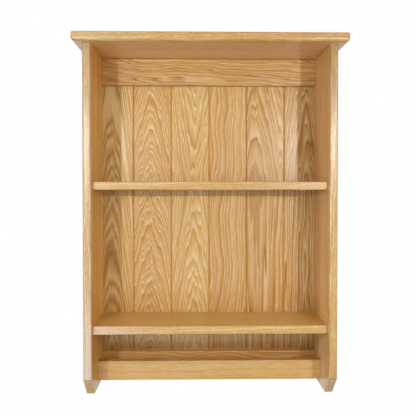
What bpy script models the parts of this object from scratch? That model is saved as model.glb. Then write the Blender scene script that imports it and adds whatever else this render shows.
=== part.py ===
"""Wall shelf in solid oak, with a tongued and grooved back, to hang on two keyhole plates.

Metres, +Z up. The shelf's front faces -Y, and the wall is the plane y = 0. The origin lies on the wall,
half way between the two keyholes, at the height where the wall screws carry the shelf.
"""

import math

import bmesh
import bpy
from mathutils import Matrix, Vector

# Clearance between pieces that touch
FIT = 0.0003

# Sides
OUTER_W = 0.600
SIDE_D = 0.195
SIDE_T = 0.020
SIDE_ROUND = 0.004
FOOT_CUT = 0.050

# Heights: the sides', the upper compartment's, and those stacked up from the bottom of the sides
SIDE_H = 0.838
UPPER_CLEAR = 0.322
UNDER_SHELF_CLEAR = 0.084
FOOT_REACH = 0.0195

# Top board
TOP_T = 0.022
TOP_OVER_FRONT = 0.023
TOP_OVER_END = 0.022
TOP_ROUND_UPPER = 0.0035
TOP_ROUND_LOWER = 0.009
TOP_ROUND_CORNER = 0.004

# Shelves
SHELF_T = 0.020
SHELF_SETBACK = 0.019
SHELF_ROUND = 0.0025
HOUSING_STOP = 0.012

# Rails
RAIL_T = 0.020
RAIL_ROUND = 0.0015
BACK_RAIL_H = 0.069
FRONT_RAIL_H = 0.048
FRONT_RAIL_SETBACK = 0.092
BACK_LIFT = 0.003

# Back boards
BOARD_COUNT = 6
BOARD_T = 0.012
BOARD_V = 0.0025
TONGUE_L = 0.005

# Dowels
DOWEL_R = 0.004
DOWEL_BITE = 0.017
DOWEL_CHAMFER = 0.001
TOP_DOWEL_INSET = 0.035
TOP_DOWEL_COUNT = 3

# Countersunk wood screws
SCREW_R = 0.0016
SCREW_HEAD_R = 0.0034
SCREW_HEAD_H = 0.0018
SCREW_RIM = 0.0003
SCREW_TIP = 0.004
SCREW_SINK = 0.0003
SCREW_COVER = 0.005
SCREW_JOINT_INSET = 0.016

# Keyhole hanger plates
PLATE_W = 0.020
PLATE_H = 0.040
PLATE_T = 0.002
PLATE_ROUND = 0.004
PLATE_SCREW_INSET = 0.005
KEYHOLE_ENTRY_R = 0.0045
KEYHOLE_SLOT_R = 0.0024
KEYHOLE_RISE = 0.005
POCKET_D = 0.007
POCKET_MARGIN = 0.001

# How far a cutter reaches past the surface that it opens
OVERRUN = 0.002

# Points nearer than this are one point
MERGE = 0.00001

# Facets of round pieces and of rounded edges
ROUND_STEPS = 12
EDGE_SEGMENTS = 4

# Joints that follow from the stock they are cut in
REBATE_W = SIDE_T / 2
HOUSING_D = SIDE_T / 3
SIDE_COVER = SIDE_T / 3
TOP_COVER = TOP_T / 3
TONGUE_T = BOARD_T / 3
BOARD_CHAMFER = min(BOARD_V, (BOARD_T - TONGUE_T) / 2 - 2 * FIT)

# Places across the shelf
OUTER_X = OUTER_W / 2
INNER_X = OUTER_X - SIDE_T
REBATE_X = INNER_X + REBATE_W
SIDE_MID_X = OUTER_X - SIDE_T / 2
BOARD_PITCH = OUTER_W / BOARD_COUNT
HANGER_X = (REBATE_X + OUTER_X - BOARD_PITCH) / 2

# Places through its depth
BOARD_FRONT_Y = -BOARD_T
CARCASS_BACK_Y = BOARD_FRONT_Y - FIT
SIDE_FRONT_Y = -SIDE_D
SHELF_FRONT_Y = SIDE_FRONT_Y + SHELF_SETBACK
FRONT_RAIL_Y = SIDE_FRONT_Y + FRONT_RAIL_SETBACK

# Heights, with the keyhole slots' upper ends at zero
RAIL_MID_Z = -KEYHOLE_RISE
UNDERSIDE_Z = RAIL_MID_Z + BACK_RAIL_H / 2
MIDDLE_SHELF_Z = UNDERSIDE_Z - UPPER_CLEAR
BOTTOM_Z = UNDERSIDE_Z - SIDE_H
FRONT_RAIL_Z = BOTTOM_Z + FOOT_REACH + FRONT_RAIL_H
LOWER_SHELF_Z = FRONT_RAIL_Z + UNDER_SHELF_CLEAR + SHELF_T
BACK_BOTTOM_Z = BOTTOM_Z + BACK_LIFT
LOWER_RAIL_MID_Z = BACK_BOTTOM_Z + BACK_RAIL_H / 2

# Fastener lengths
SCREW_L = BOARD_T + RAIL_T - SCREW_COVER

OAK_PALE = (0.62, 0.40, 0.20)
OAK_HONEY = (0.56, 0.34, 0.15)
OAK_BROWN = (0.50, 0.29, 0.12)
BEECH = (0.66, 0.46, 0.29)
ZINC = (0.62, 0.60, 0.55)
STEEL = (0.55, 0.56, 0.57)

# Roughness of each finish
SATIN_LACQUER = 0.38
BARE_WOOD = 0.6
PLATED = 0.35

# Turns of a piece that is made upright: lying along the shelf, or with its top against the wall
UPRIGHT = (0.0, 0.0, 0.0)
ALONG_X = (0.0, math.pi / 2, 0.0)
TOP_TO_WALL = (-math.pi / 2, 0.0, 0.0)


def clear_scene():
    for obj in list(bpy.data.objects):
        bpy.data.objects.remove(obj, do_unlink=True)


def new_collection(name):
    collection = bpy.data.collections.new(name)
    bpy.context.scene.collection.children.link(collection)
    return collection


def finish(obj, colour, roughness, metallic=0.0):
    """Give a piece its own material and hang it on the assembly's empty."""
    material = bpy.data.materials.new(obj.name)
    material.use_nodes = True
    shader = material.node_tree.nodes["Principled BSDF"]
    shader.inputs["Base Color"].default_value = (*colour, 1.0)
    shader.inputs["Roughness"].default_value = roughness
    shader.inputs["Metallic"].default_value = metallic
    obj.data.materials.append(material)
    obj.parent = assembly
    return obj


def hide_cutter(obj):
    obj.hide_render = True
    obj.display_type = "WIRE"
    return obj


def box(name, low, high, collection):
    """A cuboid between two corners, with its origin in its middle."""
    low = Vector(low)
    high = Vector(high)
    mesh = bpy.data.meshes.new(name)
    shape = bmesh.new()
    bmesh.ops.create_cube(shape, size=1.0, matrix=Matrix.Diagonal((*(high - low), 1.0)))
    shape.to_mesh(mesh)
    shape.free()
    obj = bpy.data.objects.new(name, mesh)
    obj.location = (low + high) / 2
    collection.objects.link(obj)
    return obj


def cutter_box(name, low, high):
    return hide_cutter(box(name, low, high, cutters))


def round_edges(obj, radii):
    """Round a cuboid's edges. Each edge is named by the side of the middle it lies on, as (x, y, z) signs."""
    widest = max(radii.values())
    shape = bmesh.new()
    shape.from_mesh(obj.data)
    half = [max(abs(vert.co[axis]) for vert in shape.verts) for axis in range(3)]
    weight = shape.edges.layers.float.new("bevel_weight_edge")
    for edge in shape.edges:
        middle = (edge.verts[0].co + edge.verts[1].co) / 2
        place = tuple(round(middle[axis] / half[axis]) for axis in range(3))
        edge[weight] = radii.get(place, 0.0) / widest
    shape.to_mesh(obj.data)
    shape.free()
    rounding = obj.modifiers.new("rounded edges", "BEVEL")
    rounding.limit_method = "WEIGHT"
    rounding.width = widest
    rounding.segments = EDGE_SEGMENTS


def turned(name, profile, place, turn, collection):
    """Turn a profile of (radius, height) points, listed from top to bottom, about its own Z axis."""
    mesh = bpy.data.meshes.new(name)
    points = [(radius, 0.0, height) for radius, height in profile]
    edges = [(index, index + 1) for index in range(len(points) - 1)]
    mesh.from_pydata(points, edges, [])
    obj = bpy.data.objects.new(name, mesh)
    obj.location = place
    obj.rotation_euler = turn
    collection.objects.link(obj)
    spin = obj.modifiers.new("turning", "SCREW")
    spin.steps = ROUND_STEPS
    spin.render_steps = ROUND_STEPS
    spin.use_merge_vertices = True
    spin.merge_threshold = MERGE
    return obj


def bore(radius, high, low):
    """A plain hole's profile, for turning."""
    return [(0.0, high), (radius, high), (radius, low), (0.0, low)]


def cut(obj, cutter):
    difference = obj.modifiers.new(cutter.name, "BOOLEAN")
    difference.operation = "DIFFERENCE"
    difference.object = cutter


def extruded(name, outline, low_z, high_z):
    """A closed solid with a flat outline in X and Y, standing from low_z to high_z."""
    curve = bpy.data.curves.new(name, "CURVE")
    curve.dimensions = "2D"
    curve.fill_mode = "BOTH"
    curve.extrude = (high_z - low_z) / 2
    spline = curve.splines.new("POLY")
    spline.points.add(len(outline) - 1)
    for point, (x, y) in zip(spline.points, outline):
        point.co = (x, y, 0.0, 1.0)
    spline.use_cyclic_u = True
    drawn = bpy.data.objects.new(name, curve)
    parts.objects.link(drawn)
    drawn.location.z = (low_z + high_z) / 2
    bpy.context.view_layer.update()
    evaluated = drawn.evaluated_get(bpy.context.evaluated_depsgraph_get())
    mesh = bpy.data.meshes.new_from_object(evaluated)
    place = drawn.matrix_world.copy()
    bpy.data.objects.remove(drawn, do_unlink=True)
    shape = bmesh.new()
    shape.from_mesh(mesh)
    bmesh.ops.remove_doubles(shape, verts=shape.verts, dist=MERGE)
    bmesh.ops.recalc_face_normals(shape, faces=shape.faces)
    shape.to_mesh(mesh)
    shape.free()
    obj = bpy.data.objects.new(name, mesh)
    obj.matrix_world = place
    parts.objects.link(obj)
    return obj


def dowel(name, place, turn, low, high, hosts):
    """A chamfered dowel from low to high along its own axis, in a blind hole in each of its hosts."""
    profile = [
        (0.0, high),
        (DOWEL_R - DOWEL_CHAMFER, high),
        (DOWEL_R, high - DOWEL_CHAMFER),
        (DOWEL_R, low + DOWEL_CHAMFER),
        (DOWEL_R - DOWEL_CHAMFER, low),
        (0.0, low),
    ]
    pin = turned(name, profile, place, turn, parts)
    finish(pin, BEECH, BARE_WOOD)
    hole_profile = bore(DOWEL_R + FIT, high + FIT, low - FIT)
    hole = hide_cutter(turned(name + "_hole", hole_profile, place, turn, cutters))
    for host in hosts:
        cut(host, hole)


def screw(name, place, length, hosts):
    """A countersunk screw driven from the back towards the front, with its head at place."""
    profile = [
        (0.0, 0.0),
        (SCREW_HEAD_R, 0.0),
        (SCREW_HEAD_R, -SCREW_RIM),
        (SCREW_R, -SCREW_HEAD_H),
        (SCREW_R, SCREW_TIP - length),
        (0.0, -length),
    ]
    finish(turned(name, profile, place, TOP_TO_WALL, parts), ZINC, PLATED, 1.0)
    hole = [
        (0.0, OVERRUN),
        (SCREW_HEAD_R + FIT, OVERRUN),
        (SCREW_HEAD_R + FIT, -SCREW_RIM),
        (SCREW_R + FIT, -SCREW_HEAD_H),
        (SCREW_R + FIT, SCREW_TIP - length - FIT),
        (0.0, -length - 2 * FIT),
    ]
    cutter = hide_cutter(turned(name + "_hole", hole, place, TOP_TO_WALL, cutters))
    for host in hosts:
        cut(host, cutter)


def top_board():
    board = box(
        "top_board",
        (-OUTER_X - TOP_OVER_END, SIDE_FRONT_Y - TOP_OVER_FRONT, UNDERSIDE_Z + FIT),
        (OUTER_X + TOP_OVER_END, 0.0, UNDERSIDE_Z + FIT + TOP_T),
        parts,
    )
    round_edges(board, {
        (0, -1, 1): TOP_ROUND_UPPER,
        (-1, 0, 1): TOP_ROUND_UPPER,
        (1, 0, 1): TOP_ROUND_UPPER,
        (0, -1, -1): TOP_ROUND_LOWER,
        (-1, 0, -1): TOP_ROUND_LOWER,
        (1, 0, -1): TOP_ROUND_LOWER,
        (-1, -1, 0): TOP_ROUND_CORNER,
        (1, -1, 0): TOP_ROUND_CORNER,
    })
    return finish(board, OAK_HONEY, SATIN_LACQUER)


def foot_cutter(name, mirror):
    """A wedge that takes the lower front corner off a side at 45 degrees."""
    across = SIDE_T / 2 + OVERRUN
    depth = FOOT_CUT / math.sqrt(2)
    reach = FOOT_CUT
    wedge = cutter_box(name, (-across, -depth, -reach), (across, depth, reach))
    wedge.location = (mirror * SIDE_MID_X, SIDE_FRONT_Y, BOTTOM_Z)
    wedge.rotation_euler = (math.pi / 4, 0.0, 0.0)
    return wedge


def side(name, mirror):
    """One side: rounded front edges, a clipped foot, a rebate for the back and a housing for each shelf."""
    inner, outer = sorted((mirror * INNER_X, mirror * OUTER_X))
    board = box(name, (inner, SIDE_FRONT_Y, BOTTOM_Z), (outer, 0.0, UNDERSIDE_Z), parts)
    round_edges(board, {(-1, -1, 0): SIDE_ROUND, (1, -1, 0): SIDE_ROUND})
    cut(board, foot_cutter(name + "_foot_cut", mirror))
    near, far = sorted((mirror * (INNER_X - OVERRUN), mirror * REBATE_X))
    cut(board, cutter_box(
        name + "_rebate",
        (near, CARCASS_BACK_Y, BOTTOM_Z - OVERRUN),
        (far, OVERRUN, UNDERSIDE_Z + OVERRUN),
    ))
    near, far = sorted((mirror * (INNER_X - OVERRUN), mirror * (INNER_X + HOUSING_D)))
    for shelf_name, shelf_z in (("middle", MIDDLE_SHELF_Z), ("lower", LOWER_SHELF_Z)):
        cut(board, cutter_box(
            f"{name}_{shelf_name}_housing",
            (near, SHELF_FRONT_Y + HOUSING_STOP - FIT, shelf_z - SHELF_T - FIT),
            (far, CARCASS_BACK_Y + OVERRUN, shelf_z + FIT),
        ))
    return finish(board, OAK_PALE, SATIN_LACQUER)


def shelf(name, top_z):
    """A shelf whose ends sit in the housings, notched in front so that the housings don't show."""
    end_x = INNER_X + HOUSING_D - FIT
    shown_x = INNER_X - FIT
    board = box(name, (-end_x, SHELF_FRONT_Y, top_z - SHELF_T), (end_x, CARCASS_BACK_Y, top_z), parts)
    round_edges(board, {(0, -1, -1): SHELF_ROUND, (0, -1, 1): SHELF_ROUND})
    for mirror in (-1, 1):
        near, far = sorted((mirror * shown_x, mirror * (end_x + OVERRUN)))
        cut(board, cutter_box(
            f"{name}_notch_{'left' if mirror < 0 else 'right'}",
            (near, SHELF_FRONT_Y - OVERRUN, top_z - SHELF_T - OVERRUN),
            (far, SHELF_FRONT_Y + HOUSING_STOP, top_z + OVERRUN),
        ))
    return finish(board, OAK_HONEY, SATIN_LACQUER)


def rail(name, front_y, mid_z, height, top_gap=0.0):
    """A rail between the sides, with its two front edges eased."""
    end_x = INNER_X - FIT
    low = (-end_x, front_y, mid_z - height / 2)
    high = (end_x, front_y + RAIL_T, mid_z + height / 2 - top_gap)
    board = box(name, low, high, parts)
    round_edges(board, {(0, -1, -1): RAIL_ROUND, (0, -1, 1): RAIL_ROUND})
    return finish(board, OAK_HONEY, SATIN_LACQUER)


def board_outline(left, right, grooved, tongued):
    """A back board's section: plain, grooved on its left edge, tongued on its right edge, or both."""
    middle = BOARD_FRONT_Y / 2
    groove = TONGUE_T / 2 + FIT
    tongue = TONGUE_T / 2
    groove_x = left + TONGUE_L + 2 * FIT
    tongue_x = right + TONGUE_L
    outline = [(left, 0.0)]
    if grooved:
        outline += [(left, middle + groove), (groove_x, middle + groove)]
        outline += [(groove_x, middle - groove), (left, middle - groove)]
        outline += [(left, BOARD_FRONT_Y + BOARD_CHAMFER), (left + BOARD_CHAMFER, BOARD_FRONT_Y)]
    else:
        outline += [(left, BOARD_FRONT_Y)]
    if tongued:
        outline += [(right - BOARD_CHAMFER, BOARD_FRONT_Y), (right, BOARD_FRONT_Y + BOARD_CHAMFER)]
        outline += [(right, middle - tongue), (tongue_x, middle - tongue)]
        outline += [(tongue_x, middle + tongue), (right, middle + tongue)]
    else:
        outline += [(right, BOARD_FRONT_Y)]
    outline += [(right, 0.0)]
    return outline


def back_board(index):
    """One of the back boards, counted from the left. The end boards sit in the sides' rebates."""
    first = index == 0
    last = index == BOARD_COUNT - 1
    left = -REBATE_X + FIT if first else -OUTER_X + index * BOARD_PITCH + FIT
    right = REBATE_X - FIT if last else -OUTER_X + (index + 1) * BOARD_PITCH - FIT
    outline = board_outline(left, right, grooved=not first, tongued=not last)
    board = extruded(f"back_board_{index + 1}", outline, BACK_BOTTOM_Z, UNDERSIDE_Z)
    return finish(board, (OAK_HONEY, OAK_BROWN)[index % 2], SATIN_LACQUER)


def board_screw_x(index):
    """A back board's screw line: its middle, but near the joint on an end board, clear of the hanger."""
    if index == 0:
        return -OUTER_X + BOARD_PITCH - SCREW_JOINT_INSET
    if index == BOARD_COUNT - 1:
        return OUTER_X - BOARD_PITCH + SCREW_JOINT_INSET
    return -OUTER_X + (index + 0.5) * BOARD_PITCH


def hanger(side_name, mirror, board, rail_behind):
    """A keyhole plate let in flush with the back, its two screws, and the pocket for a wall screw's head."""
    x = mirror * HANGER_X
    half_w = PLATE_W / 2
    half_h = PLATE_H / 2
    plate = box(
        f"hanger_plate_{side_name}",
        (x - half_w, -PLATE_T, RAIL_MID_Z - half_h),
        (x + half_w, 0.0, RAIL_MID_Z + half_h),
        parts,
    )
    round_edges(plate, {(i, 0, j): PLATE_ROUND for i in (-1, 1) for j in (-1, 1)})
    finish(plate, STEEL, PLATED, 1.0)

    recess = cutter_box(
        plate.name + "_recess",
        (x - half_w - FIT, -PLATE_T - FIT, RAIL_MID_Z - half_h - FIT),
        (x + half_w + FIT, OVERRUN, RAIL_MID_Z + half_h + FIT),
    )
    pocket_w = KEYHOLE_ENTRY_R + POCKET_MARGIN
    pocket_h = KEYHOLE_RISE + pocket_w
    pocket = cutter_box(
        plate.name + "_pocket",
        (x - pocket_w, -PLATE_T - POCKET_D, RAIL_MID_Z - pocket_h),
        (x + pocket_w, 0.0, RAIL_MID_Z + pocket_h),
    )
    cut(board, recess)
    cut(board, pocket)

    holes = (("entry", KEYHOLE_ENTRY_R, -KEYHOLE_RISE), ("slot_end", KEYHOLE_SLOT_R, KEYHOLE_RISE))
    for hole_name, radius, rise in holes:
        profile = bore(radius, OVERRUN, -PLATE_T - OVERRUN)
        place = (x, 0.0, RAIL_MID_Z + rise)
        hole = turned(f"{plate.name}_{hole_name}", profile, place, TOP_TO_WALL, cutters)
        cut(plate, hide_cutter(hole))
    cut(plate, cutter_box(
        plate.name + "_slot",
        (x - KEYHOLE_SLOT_R, -PLATE_T - OVERRUN, RAIL_MID_Z - KEYHOLE_RISE),
        (x + KEYHOLE_SLOT_R, OVERRUN, RAIL_MID_Z + KEYHOLE_RISE),
    ))
    for end_name, end in (("lower", -1), ("upper", 1)):
        place = (x, -SCREW_SINK, RAIL_MID_Z + end * (half_h - PLATE_SCREW_INSET))
        screw(f"hanger_screw_{side_name}_{end_name}", place, SCREW_L, (plate, board, rail_behind))


def rail_dowels(name, rail_board, mid_y, mid_z, height, sides):
    """Two dowels at each end of a rail, at the quarter points of its height."""
    into_side = SIDE_T - SIDE_COVER
    for side_name, mirror, side_board in sides:
        low, high = sorted((mirror * -DOWEL_BITE, mirror * into_side))
        for level, share in (("lower", -0.25), ("upper", 0.25)):
            place = (mirror * INNER_X, mid_y, mid_z + share * height)
            dowel(f"{name}_dowel_{side_name}_{level}", place, ALONG_X, low, high, (rail_board, side_board))


def top_dowels(board, sides):
    """A row of dowels between the top board and each side's upper end."""
    first_y = SIDE_FRONT_Y + TOP_DOWEL_INSET
    last_y = CARCASS_BACK_Y - TOP_DOWEL_INSET
    step = (last_y - first_y) / max(TOP_DOWEL_COUNT - 1, 1)
    for side_name, mirror, side_board in sides:
        for index in range(TOP_DOWEL_COUNT):
            place = (mirror * SIDE_MID_X, first_y + index * step, UNDERSIDE_Z)
            name = f"top_dowel_{side_name}_{index + 1}"
            dowel(name, place, UPRIGHT, -DOWEL_BITE, TOP_T - TOP_COVER, (board, side_board))


def wall_shelf():
    left = side("left_side", -1)
    right = side("right_side", 1)
    sides = (("left", -1, left), ("right", 1, right))
    top = top_board()
    middle_shelf = shelf("middle_shelf", MIDDLE_SHELF_Z)
    shelf("lower_shelf", LOWER_SHELF_Z)

    back_rail_y = CARCASS_BACK_Y - RAIL_T
    upper_rail = rail("upper_back_rail", back_rail_y, RAIL_MID_Z, BACK_RAIL_H, top_gap=FIT)
    lower_rail = rail("lower_back_rail", back_rail_y, LOWER_RAIL_MID_Z, BACK_RAIL_H)
    front_rail_mid_z = FRONT_RAIL_Z - FRONT_RAIL_H / 2
    front_rail = rail("front_rail", FRONT_RAIL_Y, front_rail_mid_z, FRONT_RAIL_H)

    top_dowels(top, sides)
    back_rail_mid_y = back_rail_y + RAIL_T / 2
    front_rail_mid_y = FRONT_RAIL_Y + RAIL_T / 2
    rail_dowels("upper_rail", upper_rail, back_rail_mid_y, RAIL_MID_Z, BACK_RAIL_H, sides)
    rail_dowels("lower_rail", lower_rail, back_rail_mid_y, LOWER_RAIL_MID_Z, BACK_RAIL_H, sides)
    rail_dowels("front_rail", front_rail, front_rail_mid_y, front_rail_mid_z, FRONT_RAIL_H, sides)

    boards = [back_board(index) for index in range(BOARD_COUNT)]
    hanger("left", -1, boards[0], upper_rail)
    hanger("right", 1, boards[-1], upper_rail)
    rows = (
        ("upper", RAIL_MID_Z, upper_rail),
        ("middle", MIDDLE_SHELF_Z - SHELF_T / 2, middle_shelf),
        ("lower", LOWER_RAIL_MID_Z, lower_rail),
    )
    for index, board in enumerate(boards):
        for row_name, z, host in rows:
            place = (board_screw_x(index), -SCREW_SINK, z)
            screw(f"board_screw_{index + 1}_{row_name}", place, SCREW_L, (board, host))


clear_scene()
parts = new_collection("wall_shelf")
cutters = new_collection("cutters")
assembly = bpy.data.objects.new("hanging_point", None)
parts.objects.link(assembly)
wall_shelf()
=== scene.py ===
"""The oak wall shelf as it looks: eased, lacquered boards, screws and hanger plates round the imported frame.

Metres, +Z up. The shelf's front faces -Y, and the wall is the plane y = 0.
"""

import math

import bmesh
import bpy
from mathutils import Matrix, Vector


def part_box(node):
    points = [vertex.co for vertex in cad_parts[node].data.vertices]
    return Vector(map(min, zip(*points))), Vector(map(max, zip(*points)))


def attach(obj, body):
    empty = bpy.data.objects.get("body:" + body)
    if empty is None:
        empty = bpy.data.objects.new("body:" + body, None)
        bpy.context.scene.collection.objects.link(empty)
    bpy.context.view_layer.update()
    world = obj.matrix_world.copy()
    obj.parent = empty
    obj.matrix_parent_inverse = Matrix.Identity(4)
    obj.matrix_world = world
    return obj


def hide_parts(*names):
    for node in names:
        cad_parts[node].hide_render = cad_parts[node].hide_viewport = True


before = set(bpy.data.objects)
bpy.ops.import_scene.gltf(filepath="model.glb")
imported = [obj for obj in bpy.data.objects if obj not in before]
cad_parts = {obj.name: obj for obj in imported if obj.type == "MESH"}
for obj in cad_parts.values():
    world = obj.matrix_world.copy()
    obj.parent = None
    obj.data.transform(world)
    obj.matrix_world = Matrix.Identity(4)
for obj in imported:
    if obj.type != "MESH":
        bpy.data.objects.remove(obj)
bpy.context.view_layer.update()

# Clearance between pieces that touch
FIT = 0.0003

# Coordinates nearer than this are one
SAME_PLACE = FIT / 3

# Roundings. ARRIS is what sandpaper leaves on every edge that has no rounding of its own
ARRIS = 0.0005
TOP_ROUND_UPPER = 0.0035
TOP_ROUND_LOWER = 0.009
TOP_ROUND_CORNER = 0.004
SIDE_ROUND = 0.004
FOOT_ROUND = 0.0015
FOOT_TIP_ROUND = 0.004
SHELF_ROUND = 0.0025
RAIL_ROUND = 0.0015
JOINT_ROUND = 0.0008
PLATE_ROUND = 0.004
PLATE_ARRIS = 0.0003
EDGE_SEGMENTS = 6

# Cuts in the sides and the shelves
FOOT_CUT = 0.050
REBATE_W = 0.010
SIDE_T = 0.020
HOUSING_D = SIDE_T / 3
HOUSING_STOP = 0.012

# Back boards
BOARD_COUNT = 6
BOARD_V = 0.0025
TONGUE_T = 0.004
TONGUE_L = 0.005
# How much of its clearance each board loses at a joint, where the boards are driven together
DRIVEN_UP = 0.00022

# Countersunk screws. SCREW_POINT is the share of the shank's width that is left at the point
SCREW_RIM = 0.0003
SCREW_HEAD_H = 0.0018
SCREW_R = 0.0016
SCREW_TIP = 0.004
SCREW_POINT = 0.05
RECESS_W = 0.0009
RECESS_L = 0.0042
RECESS_D = 0.0013
SCREW_SEED = 7

# Keyholes in the hanger plates, and the pocket behind each
KEYHOLE_ENTRY_R = 0.0045
KEYHOLE_SLOT_R = 0.0024
KEYHOLE_RISE = 0.005
POCKET_D = 0.007
POCKET_MARGIN = 0.001

# How far a cutter reaches past the surface that it opens, and the facets of what is turned
OVERRUN = 0.002
ROUND_STEPS = 24

# Two edges meet in a crease where they turn by more than this
CREASE = math.radians(32)

X, Y, Z = Vector((1, 0, 0)), Vector((0, 1, 0)), Vector((0, 0, 1))


# Making shapes

def place_mesh(name, mesh):
    obj = bpy.data.objects.new(name, mesh)
    bpy.context.scene.collection.objects.link(obj)
    return obj


def shape_object(name, shape):
    mesh = bpy.data.meshes.new(name)
    shape.to_mesh(mesh)
    shape.free()
    return place_mesh(name, mesh)


def prism(outline, start, end, axis):
    """A closed solid from start to end along an axis, with its outline in the other two axes, in order."""
    shape = bmesh.new()

    def lifted(point, height):
        spot = list(point)
        spot.insert("XYZ".index(axis), height)
        return shape.verts.new(spot)

    lower = [lifted(point, start) for point in outline]
    upper = [lifted(point, end) for point in outline]
    shape.faces.new(lower)
    shape.faces.new(upper)
    for index in range(len(outline)):
        shape.faces.new((lower[index - 1], lower[index], upper[index], upper[index - 1]))
    bmesh.ops.recalc_face_normals(shape, faces=shape.faces)
    return shape


def block(low, high):
    outline = [(low.x, low.y), (high.x, low.y), (high.x, high.y), (low.x, high.y)]
    return prism(outline, low.z, high.z, "Z")


def turned(shape, profile, place, axis):
    """Add a turned solid to a shape, along an axis: its (radius, height) points run from top to bottom."""
    turn = Matrix.Translation(place) @ Z.rotation_difference(axis).to_matrix().to_4x4()
    rings = []
    for radius, height in profile:
        if radius == 0:
            rings.append([shape.verts.new(turn @ Vector((0, 0, height)))] * ROUND_STEPS)
            continue
        angles = [2 * math.pi * step / ROUND_STEPS for step in range(ROUND_STEPS)]
        rings.append([
            shape.verts.new(turn @ Vector((radius * math.cos(angle), radius * math.sin(angle), height)))
            for angle in angles
        ])
    for upper, lower in zip(rings, rings[1:]):
        for step in range(ROUND_STEPS):
            corners = (upper[step - 1], lower[step - 1], lower[step], upper[step])
            shape.faces.new(dict.fromkeys(corners))


def edge_radius(edge, rules):
    """The rounding of an edge: that of the first rule whose named coordinates hold at both of its ends."""
    for radius, place in rules:
        ends = [(vert.co["xyz".index(axis)], value) for vert in edge.verts for axis, value in place.items()]
        if all(abs(found - value) < SAME_PLACE for found, value in ends):
            return radius
    return ARRIS


def evaluated_mesh(obj):
    bpy.context.view_layer.update()
    graph = bpy.context.evaluated_depsgraph_get()
    shown = obj.evaluated_get(graph)
    return bpy.data.meshes.new_from_object(shown, preserve_all_data_layers=True, depsgraph=graph)


def finished(name, shape, rules, cutters=()):
    """Round a shape's edges, make its cuts, and shade its flats flat and its roundings smooth."""
    widest = max([radius for radius, place in rules] + [ARRIS])
    weight = shape.edges.layers.float.new("bevel_weight_edge")
    for edge in shape.edges:
        edge[weight] = edge_radius(edge, rules) / widest
    rough = shape_object(name + "_rough", shape)
    rounding = rough.modifiers.new("rounded edges", "BEVEL")
    rounding.limit_method = "WEIGHT"
    rounding.width = widest
    rounding.segments = EDGE_SEGMENTS
    tools = [shape_object(f"{name}_cutter_{index}", cutter) for index, cutter in enumerate(cutters)]
    for tool in tools:
        difference = rough.modifiers.new(tool.name, "BOOLEAN")
        difference.operation = "DIFFERENCE"
        difference.solver = "EXACT"
        difference.object = tool
    mesh = evaluated_mesh(rough)
    for used in [rough, *tools]:
        bpy.data.objects.remove(used, do_unlink=True)
    return smooth_piece(name, mesh)


def smooth_piece(name, mesh):
    """A piece whose creases stay sharp and whose large flats set the shading of the roundings beside them."""
    mesh.shade_smooth()
    mesh.set_sharp_from_angle(angle=CREASE)
    draft = place_mesh(name + "_draft", mesh)
    normals = draft.modifiers.new("flat faces first", "WEIGHTED_NORMAL")
    normals.keep_sharp = True
    final = evaluated_mesh(draft)
    final.name = name
    bpy.data.objects.remove(draft, do_unlink=True)
    return place_mesh(name, final)


def hand_over(piece, material, slot, *nodes):
    """Give a piece its finish, and let it stand for its CAD nodes."""
    piece.data.materials.clear()
    piece.data.materials.append(material)
    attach(piece, "root")
    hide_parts(*nodes)


# Holes for the fasteners

DOWELS = sorted(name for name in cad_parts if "_dowel_" in name)
SCREWS = sorted(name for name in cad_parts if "_screw_" in name)


def screw_place(name):
    """A screw's head, as the middle of its face, the radius of that face and the screw's length."""
    low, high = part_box(name)
    head = Vector(((low.x + high.x) / 2, high.y, (low.z + high.z) / 2))
    return head, (high.x - low.x) / 2, high.y - low.y


def touch(first, second):
    return all(first[0][axis] < second[1][axis] and second[0][axis] < first[1][axis] for axis in range(3))


def dowel_hole(shape, name):
    low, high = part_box(name)
    size = high - low
    long_way = max(range(3), key=lambda axis: size[axis])
    radius = min(size) / 2 + FIT
    reach = size[long_way] / 2 + FIT
    profile = [(0, reach), (radius, reach), (radius, -reach), (0, -reach)]
    turned(shape, profile, (low + high) / 2, (X, Y, Z)[long_way])


def screw_hole(shape, name):
    head, radius, length = screw_place(name)
    profile = [
        (0, OVERRUN),
        (radius + FIT, OVERRUN),
        (radius + FIT, -SCREW_RIM),
        (SCREW_R + FIT, -SCREW_HEAD_H),
        (SCREW_R + FIT, SCREW_TIP - length - FIT),
        (0, -length - 2 * FIT),
    ]
    turned(shape, profile, head, Y)


def fastener_holes(node):
    """One cutter for every dowel and screw that enters a CAD node."""
    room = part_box(node)
    shape = bmesh.new()
    for names, hole in ((DOWELS, dowel_hole), (SCREWS, screw_hole)):
        for name in names:
            if touch(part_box(name), room):
                hole(shape, name)
    return shape


# Boards

def top_board():
    low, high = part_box("top_board")
    rules = [
        (TOP_ROUND_LOWER, {"y": low.y, "z": low.z}),
        (TOP_ROUND_LOWER, {"x": low.x, "z": low.z}),
        (TOP_ROUND_LOWER, {"x": high.x, "z": low.z}),
        (TOP_ROUND_UPPER, {"y": low.y, "z": high.z}),
        (TOP_ROUND_UPPER, {"x": low.x, "z": high.z}),
        (TOP_ROUND_UPPER, {"x": high.x, "z": high.z}),
        (TOP_ROUND_CORNER, {"x": low.x, "y": low.y}),
        (TOP_ROUND_CORNER, {"x": high.x, "y": low.y}),
    ]
    return finished("top_board_oak", block(low, high), rules, [fastener_holes("top_board")])


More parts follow.
